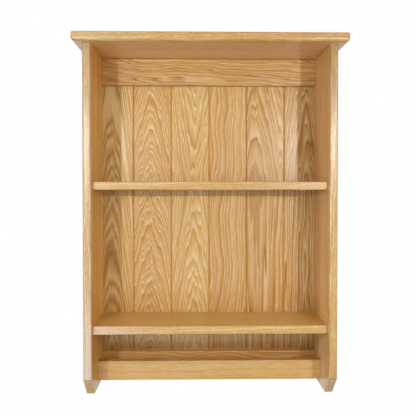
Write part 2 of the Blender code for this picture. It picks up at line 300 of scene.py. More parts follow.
def side(name):
    """A side with rounded front edges, a clipped foot, a rebate for the back and a housing for each shelf."""
    low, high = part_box(name)
    inner, outer = (high.x, low.x) if name == "left_side" else (low.x, high.x)
    inward = math.copysign(1, inner - outer)
    outline = [
        (low.y, high.z),
        (low.y, low.z + FOOT_CUT),
        (low.y + FOOT_CUT, low.z),
        (high.y, low.z),
        (high.y, high.z),
    ]
    rules = [
        (SIDE_ROUND, {"x": inner, "y": low.y}),
        (SIDE_ROUND, {"x": outer, "y": low.y}),
        (FOOT_TIP_ROUND, {"y": low.y + FOOT_CUT, "z": low.z}),
        (FOOT_ROUND, {"y": low.y, "z": low.z + FOOT_CUT}),
        (FOOT_TIP_ROUND, {"x": inner, "z": low.z}),
        (FOOT_TIP_ROUND, {"x": outer, "z": low.z}),
        (ARRIS, {"x": inner, "z": high.z}),
        (ARRIS, {"x": outer, "z": high.z}),
        (ARRIS, {"x": inner, "y": high.y}),
        (ARRIS, {"x": outer, "y": high.y}),
        (FOOT_ROUND, {"x": inner}),
        (FOOT_ROUND, {"x": outer}),
    ]
    board_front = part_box("back_board_1")[0].y - FIT
    room = inner + inward * OVERRUN
    near, far = sorted((room, inner - inward * REBATE_W))
    rebate = block(Vector((near, board_front, low.z - OVERRUN)), Vector((far, OVERRUN, high.z + OVERRUN)))
    near, far = sorted((room, inner - inward * HOUSING_D))
    cutters = [rebate, fastener_holes(name)]
    for shelf_name in ("middle_shelf", "lower_shelf"):
        shelf_low, shelf_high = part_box(shelf_name)
        cutters.append(block(
            Vector((near, shelf_low.y + HOUSING_STOP - FIT, shelf_low.z - FIT)),
            Vector((far, board_front + OVERRUN, shelf_high.z + FIT)),
        ))
    return finished(name + "_oak", prism(outline, low.x, high.x, "X"), rules, cutters)


def shelf(name):
    """A shelf with rounded front edges, notched at its front corners to hide the housings."""
    low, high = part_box(name)
    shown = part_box("front_rail")[1].x
    notch = low.y + HOUSING_STOP
    outline = [
        (-shown, low.y),
        (shown, low.y),
        (shown, notch),
        (high.x, notch),
        (high.x, high.y),
        (low.x, high.y),
        (low.x, notch),
        (-shown, notch),
    ]
    rules = [
        (SHELF_ROUND, {"y": low.y, "z": low.z}),
        (SHELF_ROUND, {"y": low.y, "z": high.z}),
    ]
    return finished(name + "_oak", prism(outline, low.z, high.z, "Z"), rules, [fastener_holes(name)])


def rail(name):
    low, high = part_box(name)
    rules = [
        (RAIL_ROUND, {"y": low.y, "z": low.z}),
        (RAIL_ROUND, {"y": low.y, "z": high.z}),
    ]
    return finished(name + "_oak", block(low, high), rules, [fastener_holes(name)])


def board_outline(left, right, front, grooved, tongued):
    """A back board's section, with a groove in its left edge, a tongue on its right edge, or both."""
    middle = front / 2
    groove = TONGUE_T / 2 + FIT
    tongue = TONGUE_T / 2
    outline = [(left, 0.0)]
    if grooved:
        bottom = left + TONGUE_L + 2 * FIT
        outline += [(left, middle + groove), (bottom, middle + groove)]
        outline += [(bottom, middle - groove), (left, middle - groove)]
        outline += [(left, front + BOARD_V), (left + BOARD_V, front)]
    else:
        outline += [(left, front)]
    if tongued:
        tip = right + TONGUE_L
        outline += [(right - BOARD_V, front), (right, front + BOARD_V)]
        outline += [(right, middle - tongue), (tip, middle - tongue)]
        outline += [(tip, middle + tongue), (right, middle + tongue)]
    else:
        outline += [(right, front)]
    outline += [(right, 0.0)]
    return outline


def plate_recess(plate):
    """The cutters for a flush hanger plate, and for the pocket behind its keyhole."""
    low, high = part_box(plate)
    grown = Vector((FIT, FIT, FIT))
    middle = (low + high) / 2
    pocket_w = KEYHOLE_ENTRY_R + POCKET_MARGIN
    half = Vector((pocket_w, 0, KEYHOLE_RISE + pocket_w))
    recess = block(low - grown, high + grown + Vector((0, OVERRUN, 0)))
    pocket = block(
        Vector((middle.x, low.y - POCKET_D, middle.z)) - half,
        Vector((middle.x, high.y, middle.z)) + half,
    )
    return [recess, pocket]


def back_board(index):
    """One of the back boards, counted from the left."""
    node = f"back_board_{index + 1}"
    low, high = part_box(node)
    first = index == 0
    last = index == BOARD_COUNT - 1
    left = low.x if first else low.x - DRIVEN_UP
    right = high.x if last else high.x - TONGUE_L + DRIVEN_UP
    outline = board_outline(left, right, low.y, grooved=not first, tongued=not last)
    rules = [
        (JOINT_ROUND, {"x": left + BOARD_V, "y": low.y}),
        (JOINT_ROUND, {"x": right - BOARD_V, "y": low.y}),
    ]
    cutters = [fastener_holes(node)]
    if first:
        cutters = plate_recess("hanger_plate_left") + cutters
    if last:
        cutters = plate_recess("hanger_plate_right") + cutters
    return finished(f"back_board_oak_{index + 1}", prism(outline, low.z, high.z, "Z"), rules, cutters)


# Hanger plates and screws

def keyhole_outline(x, z):
    """A round entry with a narrower slot that rises from it, round the plate's middle."""
    entry_z = z - KEYHOLE_RISE
    end_z = z + KEYHOLE_RISE
    mouth = math.asin(KEYHOLE_SLOT_R / KEYHOLE_ENTRY_R)
    outline = []
    for step in range(ROUND_STEPS + 1):
        angle = math.pi * step / ROUND_STEPS
        outline.append((x + KEYHOLE_SLOT_R * math.cos(angle), end_z + KEYHOLE_SLOT_R * math.sin(angle)))
    for step in range(ROUND_STEPS + 1):
        angle = math.pi / 2 + mouth + (2 * math.pi - 2 * mouth) * step / ROUND_STEPS
        outline.append((x + KEYHOLE_ENTRY_R * math.cos(angle), entry_z + KEYHOLE_ENTRY_R * math.sin(angle)))
    return outline


def hanger_plate(name):
    low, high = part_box(name)
    middle = (low + high) / 2
    outline = [(low.x, low.z), (high.x, low.z), (high.x, high.z), (low.x, high.z)]
    rules = [(PLATE_ROUND, {"x": x, "z": z}) for x in (low.x, high.x) for z in (low.z, high.z)]
    rules += [(PLATE_ARRIS, {"y": low.y}), (PLATE_ARRIS, {"y": high.y})]
    keyhole = prism(keyhole_outline(middle.x, middle.z), low.y - OVERRUN, high.y + OVERRUN, "Y")
    cutters = [keyhole, fastener_holes(name)]
    return finished(name + "_zinc", prism(outline, low.y, high.y, "Y"), rules, cutters)


def screw_tree(material):
    """Geometry nodes that set a countersunk, cross-recessed screw at every point, each turned by chance."""
    tree = bpy.data.node_groups.new("countersunk screws", "GeometryNodeTree")
    tree.interface.new_socket("Geometry", in_out="INPUT", socket_type="NodeSocketGeometry")
    for size in ("Head Radius", "Head Height", "Rim", "Shank Radius", "Length", "Tip",
                 "Recess Width", "Recess Length", "Recess Depth"):
        tree.interface.new_socket(size, in_out="INPUT", socket_type="NodeSocketFloat")
    tree.interface.new_socket("Geometry", in_out="OUTPUT", socket_type="NodeSocketGeometry")
    given = tree.nodes.new("NodeGroupInput").outputs

    def step(kind, links, **settings):
        node = tree.nodes.new(kind)
        for name, value in settings.items():
            setattr(node, name, value)
        for socket, value in links.items():
            if isinstance(value, bpy.types.NodeSocket):
                tree.links.new(value, node.inputs[socket])
            else:
                node.inputs[socket].default_value = value
        return node

    def figure(operation, first, second):
        return step("ShaderNodeMath", {0: first, 1: second}, operation=operation).outputs[0]

    def along(height):
        return step("ShaderNodeCombineXYZ", {"Z": height}).outputs[0]

    def drawn_out(mesh, face, depth, share):
        """Draw a face out along the screw, and narrow it to a share of its width."""
        longer = step("GeometryNodeExtrudeMesh", {
            "Mesh": mesh, "Selection": face, "Offset": along(figure("MULTIPLY", depth, -1.0)),
            "Offset Scale": 1.0, "Individual": False,
        })
        narrowed = step("GeometryNodeScaleElements", {
            "Geometry": longer.outputs["Mesh"], "Selection": longer.outputs["Top"], "Scale": share,
        })
        return narrowed.outputs[0], longer.outputs["Top"]

    rim = step("GeometryNodeMeshCylinder", {
        "Vertices": ROUND_STEPS, "Radius": given["Head Radius"], "Depth": given["Rim"],
    })
    lowered = step("GeometryNodeTransform", {
        "Geometry": rim.outputs["Mesh"], "Translation": along(figure("MULTIPLY", given["Rim"], -0.5)),
    }).outputs[0]
    cone = figure("SUBTRACT", given["Head Height"], given["Rim"])
    neck = figure("DIVIDE", given["Shank Radius"], given["Head Radius"])
    mesh, face = drawn_out(lowered, rim.outputs["Bottom"], cone, neck)
    shank = figure("SUBTRACT", figure("SUBTRACT", given["Length"], given["Head Height"]), given["Tip"])
    mesh, face = drawn_out(mesh, face, shank, 1.0)
    mesh, face = drawn_out(mesh, face, given["Tip"], SCREW_POINT)

    depth = figure("MULTIPLY", given["Recess Depth"], 2.0)
    sizes = ((given["Recess Length"], given["Recess Width"]), (given["Recess Width"], given["Recess Length"]))
    for wide, deep in sizes:
        size = step("ShaderNodeCombineXYZ", {"X": wide, "Y": deep, "Z": depth})
        bar = step("GeometryNodeMeshCube", {"Size": size.outputs[0]})
        mesh = step("GeometryNodeMeshBoolean", {"Mesh 1": mesh, "Mesh 2": bar.outputs["Mesh"]},
                    operation="DIFFERENCE").outputs["Mesh"]

    spin = step("FunctionNodeRandomValue", {2: 0.0, 3: math.pi, "Seed": SCREW_SEED})
    own_turn = step("FunctionNodeAxisAngleToRotation", {"Axis": Z, "Angle": spin.outputs[1]})
    to_wall = step("FunctionNodeAxisAngleToRotation", {"Axis": X, "Angle": -math.pi / 2})
    turn = step("FunctionNodeRotateRotation", {
        "Rotation": to_wall.outputs[0], "Rotate By": own_turn.outputs[0],
    }, rotation_space="LOCAL")
    spread = step("GeometryNodeInstanceOnPoints", {
        "Points": given["Geometry"], "Instance": mesh, "Rotation": turn.outputs[0],
    })
    solid = step("GeometryNodeRealizeInstances", {"Geometry": spread.outputs[0]})
    plated = step("GeometryNodeSetMaterial", {"Geometry": solid.outputs[0], "Material": material})
    step("NodeGroupOutput", {"Geometry": plated.outputs[0]})
    return tree


def screws(name, nodes, tree):
    """All the screws of one kind, where the CAD nodes are."""
    heads = [screw_place(node) for node in nodes]
    points = bpy.data.meshes.new(name)
    points.from_pydata([head for head, radius, length in heads], [], [])
    draft = place_mesh(name + "_points", points)
    sizes = {
        "Head Radius": heads[0][1],
        "Head Height": SCREW_HEAD_H,
        "Rim": SCREW_RIM,
        "Shank Radius": SCREW_R,
        "Length": heads[0][2],
        "Tip": SCREW_TIP,
        "Recess Width": RECESS_W,
        "Recess Length": RECESS_L,
        "Recess Depth": RECESS_D,
    }
    setter = draft.modifiers.new("screws", "NODES")
    setter.node_group = tree
    for socket in tree.interface.items_tree:
        if socket.name in sizes:
            setter[socket.identifier] = sizes[socket.name]
    mesh = evaluated_mesh(draft)
    bpy.data.objects.remove(draft, do_unlink=True)
    return smooth_piece(name, mesh)


# Finishes

# Colours of lacquered oak
OAK_PALE = (0.74, 0.585, 0.335, 1)
OAK_HONEY = (0.58, 0.345, 0.076, 1)
OAK_LINE = (0.42, 0.175, 0.004, 1)
OAK_DARK = (0.32, 0.122, 0.006, 1)
OAK_SAP = (0.70, 0.535, 0.415, 1)
OAK_GOLD = (0.47, 0.29, 0.125, 1)
OAK_BROWN = (0.555, 0.315, 0.085, 1)
OAK_TAN = (0.40, 0.215, 0.063, 1)
OAK_AMBER = (0.55, 0.345, 0.115, 1)
OAK_JOINT = (0.70, 0.355, 0.085, 1)
OAK_RUSSET = (0.52, 0.275, 0.055, 1)
OAK_KNOT = (0.25, 0.080, 0.003, 1)
WHITE = (1, 1, 1, 1)

# Beech, and bright and dull zinc
BEECH = (0.66, 0.46, 0.29, 1)
BEECH_FLECK = (0.45, 0.27, 0.15, 1)
ZINC_PLATE = (0.60, 0.61, 0.62, 1)
ZINC_PLATE_DULL = (0.48, 0.49, 0.50, 1)
ZINC_SCREW = (0.68, 0.63, 0.50, 1)
ZINC_SCREW_DULL = (0.52, 0.49, 0.42, 1)

# Lacquer over smooth late wood, and what early wood and sawn ends add to its roughness
LACQUER = 0.30
LACQUER_IOR = 1.6
EARLY_WOOD_ROUGHER = 0.07
END_GRAIN_ROUGHER = 0.2

# How much light an open pore and a sawn end keep. Dark wood is redder: how far red, green and blue follow
PORE_SHADE = 0.66
END_GRAIN_SHADE = 0.95
SHADE_POWERS = (0.65, 1.0, 1.35)

# Relief of the grain, and how deep early wood lies beside the pores
GRAIN_RELIEF = 0.00025
GRAIN_STRENGTH = 0.25
EARLY_WOOD_SUNK = 0.35

# Patches to the metre across the grain, and along it
WANDER = (9.0, 7.0)
JAGS = (85.0, 4.0)
FUZZ = (650.0, 34.0)
PORES = (1500.0, 60.0)
FLECKS = (210.0, 30.0)
TONES = (17.0, 1.5)
DASHES = (330.0, 85.0)
BEECH_FLECKS = (900.0, 900.0)
ZINC_CLOUDS = (700.0, 260.0)
ZINC_SCRATCHES = (4000.0, 120.0)

# Where each noise starts to mark the wood, and where it marks it fully
PORE_EDGE = (0.56, 0.72)
DASH_EDGE = (0.46, 0.68)
FLECK_EDGE = (0.35, 0.65)
TONE_EDGE = (0.3, 0.7)

# How squarely a surface crosses the grain where it starts to be a sawn end, and where it is one
END_EDGE = (0.55, 0.95)

# Where sapwood starts to fade, and where it is gone, as shares of its depth. The same for a knot and its size
SAP_EDGE = (0.4, 1.0)
KNOT_EDGE = (0.2, 1.0)

# How dark a knot is between its dashes, and the strength of dash that makes it fully dark
KNOT_BETWEEN = 0.3
KNOT_DASH = 0.6

# How much the years differ in their pale and their dark lines, how far flecks go, and the pores in late wood
PALE_YEARS = (0.55, 1.15)
DARK_YEARS = (1.1, 0.5)
FLECK_LIFT = (-0.2, 0.2)
LATE_WOOD_PORES = 0.3

# How far the fuzz moves a ring, how soon the rings' widths change, and by how many rings
FUZZ_REACH = 0.0010
SWAY_RATE = 0.40
SWAY_RINGS = 1.8

# How softly rings that point both ways turn at the board's middle
FOLD_ROUND = 0.04

# Early and late wood through one ring, as (place in the ring, amount)
EARLY_WOOD = [(0.0, 0.45), (0.08, 1.0), (0.2, 0.8), (0.42, 0.15), (0.8, 0.0), (1.0, 0.45)]
LATE_WOOD = [(0.0, 0.55), (0.05, 0.0), (0.35, 0.0), (0.65, 0.25), (0.88, 1.0), (1.0, 0.55)]

# The finish gathered in a V joint: its share, and how far behind the board's front it starts and ends
JOINT_SHARE = 0.5
JOINT_FROM = (0.0002, 0.0009)
JOINT_TO = (0.0020, 0.0030)

# Roughness of beech and of zinc, and the relief of zinc's scratches
BEECH_ROUGH = (0.6, 0.75)
ZINC_ROUGH = (0.28, 0.46)
ZINC_RELIEF = 0.00005
ZINC_STRENGTH = 0.15


class Nodes:
    """Short words for building a shader's node tree."""

    def __init__(self, tree):
        self.tree = tree

    def add(self, kind, links=None, **settings):
        node = self.tree.nodes.new(kind)
        for name, value in settings.items():
            setattr(node, name, value)
        for socket, value in (links or {}).items():
            if isinstance(value, bpy.types.NodeSocket):
                self.tree.links.new(value, node.inputs[socket])
            else:
                node.inputs[socket].default_value = value
        return node

    def math(self, operation, *values, clamp=False):
        links = dict(enumerate(values))
        return self.add("ShaderNodeMath", links, operation=operation, use_clamp=clamp).outputs[0]

    def stretched_noise(self, place, patches, seed, detail=2.0, roughness=0.5):
        """Noise with so many patches to the metre across the grain, and along it."""
        across, along = patches
        scale = (across, across, along)
        scaled = self.add("ShaderNodeVectorMath", {0: place, 1: scale}, operation="MULTIPLY")
        noise = self.add("ShaderNodeTexNoise", {
            "Vector": scaled.outputs[0], "W": seed, "Scale": 1.0, "Detail": detail, "Roughness": roughness,
        }, noise_dimensions="4D")
        return noise.outputs["Fac"]

    def range(self, value, low, high, new_low=0.0, new_high=1.0, smooth=False):
        links = {"Value": value, "From Min": low, "From Max": high, "To Min": new_low, "To Max": new_high}
        kind = "SMOOTHSTEP" if smooth else "LINEAR"
        return self.add("ShaderNodeMapRange", links, interpolation_type=kind).outputs[0]

    def ramp(self, value, stops):
        """A grey ramp through (position, brightness) stops."""
        node = self.add("ShaderNodeValToRGB", {"Fac": value})
        elements = node.color_ramp.elements
        while len(elements) < len(stops):
            elements.new(0.5)
        for element, (position, grey) in zip(elements, stops):
            element.position = position
            element.color = (grey, grey, grey, 1)
        return node.outputs["Color"]

    def mix(self, share, first, second, blend="MIX"):
        node = self.add("ShaderNodeMix", {0: share, 6: first, 7: second}, data_type="RGBA", blend_type=blend)
        return node.outputs[2]


def oak_figure():
    """Oak as a solid: cone-shaped growth rings round a pith line, pores, flecks and slow changes of tone.

    Place runs across the grain in X and Y, from the pith, and along it in Z. Each ring is Ring wide at the
    pith, and narrower further out by Flare. Taper draws the rings to points one way along the board, and Fold
    both ways from its middle. Wave bends them, and Jag makes their points ragged. Sharp narrows the dark
    lines, Contrast darkens them, and Cream brightens the early wood. Dash adds short dark dashes, and Streak
    long changes of tone. Start and End tint the board before and after the pith point, and change over Reach.
    Sapwood lies at its front, from Front in object space to Depth behind it, and runs from Sap Start to Sap
    End. Joint is the share of finish gathered in the V joints. Knotty darkens a knot of half sizes Knot Size
    round Knot, both in object space.
    """
    tree = bpy.data.node_groups.new("oak figure", "ShaderNodeTree")
    for name in ("Place", "Grain", "Knot", "Knot Size"):
        tree.interface.new_socket(name, in_out="INPUT", socket_type="NodeSocketVector")
    for name in ("Ring", "Flare", "Taper", "Fold", "Wave", "Jag", "Sharp", "Contrast", "Cream", "Dash",
                 "Streak", "Sapwood", "Front", "Depth", "Joint", "Knotty", "Reach", "Seed"):
        tree.interface.new_socket(name, in_out="INPUT", socket_type="NodeSocketFloat")
    for name in ("Line", "Sap Start", "Sap End", "Start", "End"):
        tree.interface.new_socket(name, in_out="INPUT", socket_type="NodeSocketColor")
    tree.interface.new_socket("Color", in_out="OUTPUT", socket_type="NodeSocketColor")
    tree.interface.new_socket("Roughness", in_out="OUTPUT", socket_type="NodeSocketFloat")
    tree.interface.new_socket("Normal", in_out="OUTPUT", socket_type="NodeSocketVector")
    n = Nodes(tree)
    given = tree.nodes.new("NodeGroupInput").outputs
    place = given["Place"]
    seed = given["Seed"]

    def own_seed(number):
        """The board's seed, moved by a number that no other noise has."""
        return n.math("ADD", seed, number)

    # Distance from the pith, bent by slow waves, and longer further out, where the rings crowd
    spot = n.add("ShaderNodeSeparateXYZ", {0: place}).outputs
    bends = []
    for axis, number in ((0, 1.7), (1, 9.2)):
        wander = n.math("SUBTRACT", n.stretched_noise(place, WANDER, own_seed(number), 1.0, 0.35), 0.5)
        bends.append(n.math("MULTIPLY_ADD", wander, given["Wave"], spot[axis]))
    across = n.add("ShaderNodeCombineXYZ", {"X": bends[0], "Y": bends[1]}).outputs[0]
    radius = n.add("ShaderNodeVectorMath", {0: across}, operation="LENGTH").outputs["Value"]
    crowded = n.math("MULTIPLY", n.math("MULTIPLY", radius, radius), given["Flare"])
    radius = n.math("ADD", radius, crowded)

    # Rings drawn out along the board, with ragged points
    away = n.math("SQRT", n.math("MULTIPLY_ADD", spot[2], spot[2], FOLD_ROUND * FOLD_ROUND))
    drawn = n.math("MULTIPLY_ADD", spot[2], given["Taper"], radius)
    drawn = n.math("MULTIPLY_ADD", away, given["Fold"], drawn)
    jag = n.math("SUBTRACT", n.stretched_noise(place, JAGS, own_seed(4.1), 1.0, 0.4), 0.5)
    drawn = n.math("MULTIPLY_ADD", jag, given["Jag"], drawn)
    fuzz = n.math("SUBTRACT", n.stretched_noise(place, FUZZ, own_seed(5.3), 1.0), 0.5)
    drawn = n.math("MULTIPLY_ADD", fuzz, FUZZ_REACH, drawn)
    even = n.math("DIVIDE", drawn, given["Ring"])
    sway = n.add("ShaderNodeTexNoise", {
        "W": n.math("MULTIPLY_ADD", even, SWAY_RATE, seed), "Scale": 1.0, "Detail": 1.0,
    }, noise_dimensions="1D").outputs["Fac"]
    ring = n.math("MULTIPLY_ADD", sway, SWAY_RINGS, even)
    through = n.math("POWER", n.math("FRACT", ring), given["Sharp"])
    year = n.add("ShaderNodeTexWhiteNoise", {
        "W": n.math("ADD", n.math("FLOOR", ring), seed),
    }, noise_dimensions="1D").outputs["Value"]

    # Each ring starts with a pale line of early wood, settles to honey and ends in a dark line
    early = n.ramp(through, EARLY_WOOD)
    late = n.ramp(through, LATE_WOOD)
    pores = n.range(n.stretched_noise(place, PORES, own_seed(2.9), 1.0), *PORE_EDGE, smooth=True)
    pores = n.math("MULTIPLY", pores, n.range(early, 0.0, 1.0, LATE_WOOD_PORES, 1.0))
    flecks = n.stretched_noise(place, FLECKS, own_seed(7.7), 3.0, 0.6)
    tone = n.stretched_noise(place, TONES, own_seed(3.3), 3.0, 0.55)
    dashes = n.range(n.stretched_noise(place, DASHES, own_seed(6.1), 2.0, 0.6), *DASH_EDGE, smooth=True)

    # Colour
    passed = n.math("DIVIDE", spot[2], given["Reach"])
    beyond = n.range(passed, -0.5, 0.5, smooth=True)
    seat = n.add("ShaderNodeTexCoord").outputs["Object"]
    shown = n.add("ShaderNodeSeparateXYZ", {0: seat}).outputs
    sunk = n.math("SUBTRACT", shown[1], given["Front"])
    behind = n.math("DIVIDE", sunk, given["Depth"])
    sap = n.math("MULTIPLY", n.range(behind, *SAP_EDGE, 1.0, 0.0, smooth=True), given["Sapwood"])
    base = n.mix(sap, OAK_HONEY, n.mix(beyond, given["Sap Start"], given["Sap End"]))
    # Start and End carry painted light on the top and the sides, and painted shade at the upper rail's left
    # end
    ends = n.mix(sap, n.mix(beyond, given["Start"], given["End"]), WHITE)
    lift = n.math("MULTIPLY", early, n.range(year, 0.0, 1.0, *PALE_YEARS))
    lift = n.math("MULTIPLY_ADD", lift, given["Cream"], n.range(flecks, *FLECK_EDGE, *FLECK_LIFT), clamp=True)
    colour = n.mix(lift, base, OAK_PALE)
    mark = n.math("MULTIPLY", late, n.range(year, 0.0, 1.0, *DARK_YEARS))
    mark = n.math("MULTIPLY", mark, given["Contrast"], clamp=True)
    colour = n.mix(mark, colour, given["Line"])
    colour = n.mix(1.0, colour, ends, "MULTIPLY")

    # The finish gathers in the V of a joint, which lies just behind the front
    gathered = n.range(sunk, *JOINT_FROM, smooth=True)
    gathered = n.math("MULTIPLY", gathered, n.range(sunk, *JOINT_TO, 1.0, 0.0))
    colour = n.mix(n.math("MULTIPLY", gathered, given["Joint"]), colour, OAK_JOINT)

    # A knot darkens the wood round a line through the board, in dashes
    offset = n.add("ShaderNodeVectorMath", {0: seat, 1: given["Knot"]}, operation="SUBTRACT").outputs[0]
    scaled = n.add("ShaderNodeVectorMath", {0: offset, 1: given["Knot Size"]}, operation="DIVIDE").outputs[0]
    near = n.add("ShaderNodeVectorMath", {0: scaled}, operation="LENGTH").outputs["Value"]
    knotty = n.math("MULTIPLY", n.range(near, *KNOT_EDGE, 1.0, 0.0, smooth=True), given["Knotty"])
    knotty = n.math("MULTIPLY", knotty, n.range(dashes, 0.0, KNOT_DASH, KNOT_BETWEEN, 1.0))
    colour = n.mix(knotty, colour, OAK_KNOT)

    # Pores and dashes darken it, and long streaks change its tone
    dark = n.range(pores, 0.0, 1.0, 1.0, PORE_SHADE)
    lasting = n.math("SUBTRACT", 1.0, n.math("MULTIPLY", dashes, given["Dash"]))
    dark = n.math("MULTIPLY", dark, lasting)
    streak = n.math("MULTIPLY_ADD", n.range(tone, *TONE_EDGE, -1.0, 1.0), given["Streak"], 1.0)
    shade = n.math("MULTIPLY", dark, streak)

    # Sawn ends drink more finish
    normal = n.add("ShaderNodeTexCoord").outputs["Normal"]
    facing = n.add("ShaderNodeVectorMath", {0: normal, 1: given["Grain"]}, operation="DOT_PRODUCT")
    end = n.range(n.math("ABSOLUTE", facing.outputs["Value"]), *END_EDGE, smooth=True)
    shade = n.math("MULTIPLY", shade, n.range(end, 0.0, 1.0, 1.0, END_GRAIN_SHADE))
    parts = [n.math("POWER", shade, power) for power in SHADE_POWERS]
    warm = n.add("ShaderNodeCombineColor", dict(enumerate(parts))).outputs[0]
    colour = n.mix(1.0, colour, warm, "MULTIPLY")

    rough = n.math("MULTIPLY_ADD", early, EARLY_WOOD_ROUGHER, LACQUER)
    rough = n.math("MULTIPLY_ADD", end, END_GRAIN_ROUGHER, rough)
    height = n.math("MULTIPLY_ADD", early, -EARLY_WOOD_SUNK, n.math("MULTIPLY", pores, -1.0))
    bump = n.add("ShaderNodeBump", {
        "Strength": GRAIN_STRENGTH, "Distance": GRAIN_RELIEF, "Height": height,
    }).outputs[0]
    n.add("NodeGroupOutput", {"Color": colour, "Roughness": rough, "Normal": bump})
    return tree


figure_group = oak_figure()


def oak(name, along, across, pith, ring=0.005, flare=0.0, taper=0.0, fold=0.0, wave=0.02, jag=0.004,
        sharp=1.0, contrast=0.75, cream=0.6, dash=0.08, streak=0.1, sapwood=0.0, front=0.0, depth=0.006,
        joint=0.0, knot=(0, 0, 0), knot_size=(1, 1, 1), knotty=0.0, reach=0.7, seed=0.0, line=OAK_LINE,
        sap=(OAK_AMBER, OAK_AMBER), start=(1, 1, 1), end=(1, 1, 1)):
    """One board's oak. The pith is a point on the line round which its rings lie."""
    material = bpy.data.materials.new(name)
    material.use_nodes = True
    tree = material.node_tree
    n = Nodes(tree)
    turn = Matrix((across, along.cross(across), along))
    place = n.add("ShaderNodeMapping", {
        "Vector": n.add("ShaderNodeTexCoord").outputs["Object"],
        "Location": -(turn @ Vector(pith)),
        "Rotation": turn.to_euler(),
    }).outputs[0]
    wood = n.add("ShaderNodeGroup", node_tree=figure_group)
    tree.links.new(place, wood.inputs["Place"])
    settings = {
        "Grain": along, "Ring": ring, "Flare": flare, "Taper": taper, "Fold": fold, "Wave": wave, "Jag": jag,
        "Sharp": sharp, "Contrast": contrast, "Cream": cream, "Dash": dash, "Streak": streak,
        "Sapwood": sapwood, "Front": front, "Depth": depth, "Joint": joint,
        "Knot": knot, "Knot Size": knot_size, "Knotty": knotty, "Reach": reach, "Seed": seed,
        "Line": line, "Sap Start": sap[0], "Sap End": sap[1], "Start": (*start, 1), "End": (*end, 1),
    }
    for socket, value in settings.items():
        wood.inputs[socket].default_value = value
    shader = tree.nodes["Principled BSDF"]
    shader.inputs["IOR"].default_value = LACQUER_IOR
    tree.links.new(wood.outputs["Color"], shader.inputs["Base Color"])
    tree.links.new(wood.outputs["Roughness"], shader.inputs["Roughness"])
    tree.links.new(wood.outputs["Normal"], shader.inputs["Normal"])
    return material


def beech():
    """Bare beech dowels: short dark flecks on pinkish wood."""
    material = bpy.data.materials.new("beech_dowel")
    material.use_nodes = True
    n = Nodes(material.node_tree)
    place = n.add("ShaderNodeTexCoord").outputs["Object"]
    flecks = n.range(n.stretched_noise(place, BEECH_FLECKS, 1.0), 0.55, 0.7, smooth=True)
    colour = n.mix(flecks, BEECH, BEECH_FLECK)
    shader = material.node_tree.nodes["Principled BSDF"]
    material.node_tree.links.new(colour, shader.inputs["Base Color"])
    material.node_tree.links.new(n.range(flecks, 0.0, 1.0, *BEECH_ROUGH), shader.inputs["Roughness"])
    return material


def zinc(name, colour, dull):
    """Zinc-plated steel with a cloudy plating."""
    material = bpy.data.materials.new(name)
    material.use_nodes = True
    n = Nodes(material.node_tree)
    place = n.add("ShaderNodeTexCoord").outputs["Object"]
    clouds = n.stretched_noise(place, ZINC_CLOUDS, 3.0, 4.0, 0.6)
    scratches = n.stretched_noise(place, ZINC_SCRATCHES, 5.0)
    tint = n.mix(n.range(clouds, 0.35, 0.65), colour, dull)
    rough = n.range(n.math("ADD", clouds, scratches), 0.7, 1.3, *ZINC_ROUGH)
    shader = material.node_tree.nodes["Principled BSDF"]
    shader.inputs["Metallic"].default_value = 1.0
    bump = n.add("ShaderNodeBump", {
        "Strength": ZINC_STRENGTH, "Distance": ZINC_RELIEF, "Height": scratches,
    }).outputs[0]
    material.node_tree.links.new(tint, shader.inputs["Base Color"])
    material.node_tree.links.new(rough, shader.inputs["Roughness"])
    material.node_tree.links.new(bump, shader.inputs["Normal"])
    return material


# Putting the shelf together

board_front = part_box("back_board_1")[0].y

# How each back board was cut from its tree: where its rings come to a point, and how
BACK_FIGURE = [
    dict(pith=(-0.2565, board_front - 0.030, -0.30), ring=0.0120, flare=14, taper=0.22, wave=0.010, jag=0.018,
         sharp=3.0, contrast=1.2, cream=0.5, seed=11, line=OAK_DARK,
         start=(0.95, 0.93, 0.82), end=(1.01, 1.02, 0.96),
         knot=(-0.255, 0.0, -0.156), knot_size=(0.0045, 1.0, 0.0045), knotty=0.8),
    dict(pith=(-0.157, board_front - 0.010, -0.30), ring=0.0092, flare=6, taper=0.36, wave=0.012, jag=0.026,
         contrast=0.85, cream=0.75, seed=82, start=(0.95, 0.93, 0.98), end=(0.97, 0.95, 0.90)),
    dict(pith=(-0.040, board_front - 0.009, -0.31), ring=0.0115, flare=9, fold=-0.26, wave=0.014, jag=0.024,
         contrast=0.75, cream=0.55, seed=53, start=(1.00, 1.05, 1.30), end=(1.04, 1.10, 1.28)),
    dict(pith=(-0.060, board_front - 0.010, -0.28), ring=0.0105, taper=-0.02, wave=0.050, jag=0.010,
         contrast=0.7, cream=0.55, seed=94, start=(0.92, 0.90, 0.98), end=(0.98, 0.97, 1.02)),
    dict(pith=(0.1250, board_front - 0.009, -0.295), ring=0.0125, flare=2, taper=0.10, fold=0.15, wave=0.016,
         jag=0.030, sharp=1.2, contrast=1.05, cream=0.75, seed=15,
         start=(0.87, 0.83, 0.84), end=(0.93, 0.92, 0.93)),
    dict(pith=(0.2575, board_front - 0.008, -0.30), ring=0.0078, flare=5, taper=0.095, fold=0.065, wave=0.016,
         jag=0.022, sharp=1.2, contrast=1.0, cream=0.85, dash=0.16, seed=6, line=OAK_DARK,
         start=(0.90, 0.84, 0.78), end=(0.87, 0.82, 0.77),
         knot=(0.268, 0.0, -0.200), knot_size=(0.012, 1.0, 0.044), knotty=1.0),
]

for index, figure in enumerate(BACK_FIGURE):
    hand_over(
        back_board(index),
        oak(f"oak_back_{index + 1}", Z, X, front=board_front, joint=JOINT_SHARE, **figure),
        "oak_back",
        f"back_board_{index + 1}",
    )

# The close, straight grain of the top, the sides and the shelves
STRAIGHT_GRAIN = dict(taper=0.02, wave=0.006, contrast=0.4, cream=0.5)
